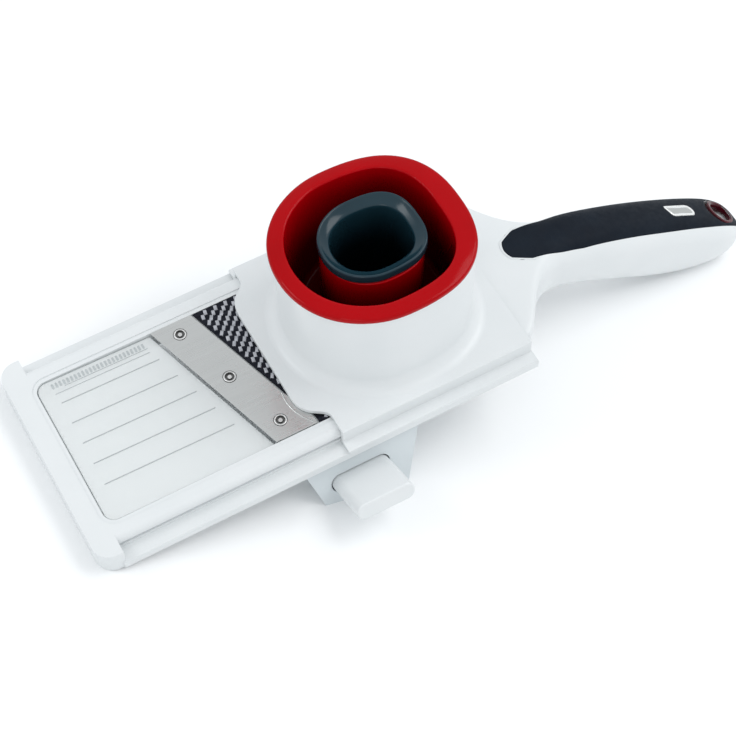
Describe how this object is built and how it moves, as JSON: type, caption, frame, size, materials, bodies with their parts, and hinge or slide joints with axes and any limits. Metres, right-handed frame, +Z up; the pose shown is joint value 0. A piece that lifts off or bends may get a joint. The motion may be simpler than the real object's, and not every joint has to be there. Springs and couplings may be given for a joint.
{
  "type": "mandoline slicer",
  "caption": "Hand-held mandoline slicer with a skewed steel blade, clear tilting ramp, sliding food carriage with nested pushers, side selector and soft-grip handle.",
  "frame": {"origin": "centre of the outline on the table surface", "axes": "+Z up from the table, +X along the slicer from its front end to the handle, -Y the side of the selector button"},
  "size_m": [0.4124, 0.1606, 0.1192],
  "materials": {
    "body_white": "satin moulded plastic",
    "inner_white": "plain moulded plastic",
    "grip_black": "soft-touch overmould",
    "badge_silver": "satin silver-grey, blank",
    "ring_red": "dark red, semi-gloss",
    "blade_steel": "fine satin brushed",
    "screw_steel": "polished heads",
    "plate_steel": "dark stamped steel with raised bosses",
    "ramp_clear": "clear, slightly frosted",
    "pusher_red": "high gloss",
    "pusher_slate": "high gloss",
    "foot_rubber": "matte grey-green rubber"
  },
  "bodies": {
    "base": {"frame": "body_white", "grip": "grip_black", "badge": "badge_silver", "hang_ring": "ring_red", "blade": "blade_steel", "blade_screw_1": "screw_steel", "blade_screw_2": "screw_steel", "blade_screw_3": "screw_steel", "textured_plate": "plate_steel", "foot_housing": "body_white", "foot_pad_near": "foot_rubber", "foot_pad_far": "foot_rubber", "foot_screw_1": "screw_steel", "foot_screw_2": "screw_steel", "foot_screw_3": "screw_steel", "foot_screw_4": "screw_steel", "hinge_pin_near": "screw_steel", "hinge_pin_far": "screw_steel"},
    "carriage": {"carriage": "body_white"},
    "large_pusher": {"large_pusher": "pusher_red"},
    "small_pusher": {"small_pusher": "pusher_slate"},
    "selector": {"selector_button": "body_white", "selector_wedge": "inner_white"},
    "ramp": {"ramp": "ramp_clear", "lift_arm": "inner_white"}
  },
  "joints": [
    {"name": "carriage_slide", "type": "slide", "parent": "base", "child": "carriage", "axis": [-0.9799, 0, -0.1994], "range_m": [0, 0.113]},
    {"name": "large_pusher_lift", "type": "slide", "parent": "carriage", "child": "large_pusher", "axis": [-0.1994, 0, 0.9799], "range_m": [0, 0.06]},
    {"name": "small_pusher_lift", "type": "slide", "parent": "large_pusher", "child": "small_pusher", "axis": [-0.1994, 0, 0.9799], "range_m": [0, 0.056]},
    {"name": "selector_push", "type": "slide", "parent": "base", "child": "selector", "axis": [0.0858, 0.9026, -0.4219], "range_m": [0, 0.006]},
    {"name": "ramp_tilt", "type": "hinge", "parent": "base", "child": "ramp", "pos_m": [-0.18954, 0.00963, 0.01073], "axis": [0, -1, 0], "range_deg": [0, 1.46]}
  ],
  "couplings": [
    {"joint": "ramp_tilt", "follows": "selector_push", "rad_per_m": 4.2333}
  ]
}
